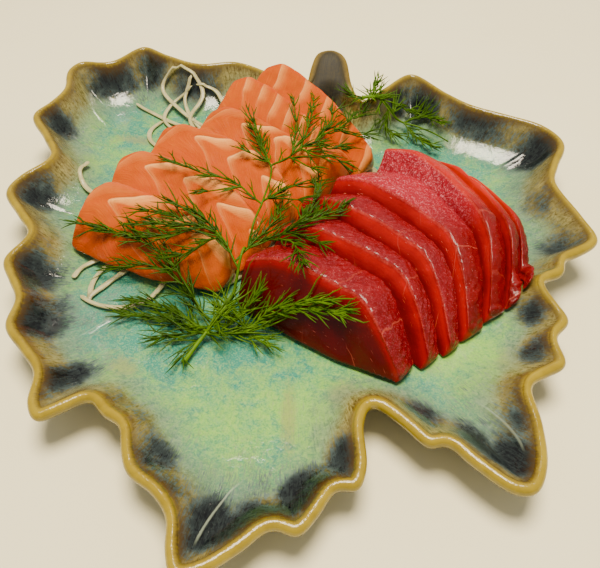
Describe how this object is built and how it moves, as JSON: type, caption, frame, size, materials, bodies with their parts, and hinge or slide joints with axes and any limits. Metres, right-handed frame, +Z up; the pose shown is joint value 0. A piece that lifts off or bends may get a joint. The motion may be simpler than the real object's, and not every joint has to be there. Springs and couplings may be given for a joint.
{
  "type": "sashimi plate",
  "caption": "Leaf-shaped glazed dish with a curled stem, carrying fans of sliced raw salmon and tuna on shredded radish with dill sprigs.",
  "frame": {"origin": "middle of the dish's flat foot, where it stands on the table", "axes": "+Z up, +Y from the leaf's front tips towards its curled-up stem, +X to the right with the stem at the back"},
  "size_m": [0.2438, 0.2709, 0.0381],
  "materials": {
    "glaze": "gloss",
    "salmon_flesh": "satin",
    "tuna_flesh": "satin",
    "radish": "satin",
    "herb": "satin"
  },
  "bodies": {
    "root": {"dish": "glaze", "salmon_1": "salmon_flesh", "salmon_2": "salmon_flesh", "salmon_3": "salmon_flesh", "salmon_4": "salmon_flesh", "salmon_5": "salmon_flesh", "salmon_6": "salmon_flesh", "tuna_1": "tuna_flesh", "tuna_2": "tuna_flesh", "tuna_3": "tuna_flesh", "tuna_4": "tuna_flesh", "tuna_5": "tuna_flesh", "tuna_6": "tuna_flesh", "tuna_7": "tuna_flesh", "daikon": "radish", "dill_front": "herb", "dill_back": "herb"}
  },
  "joints": []
}
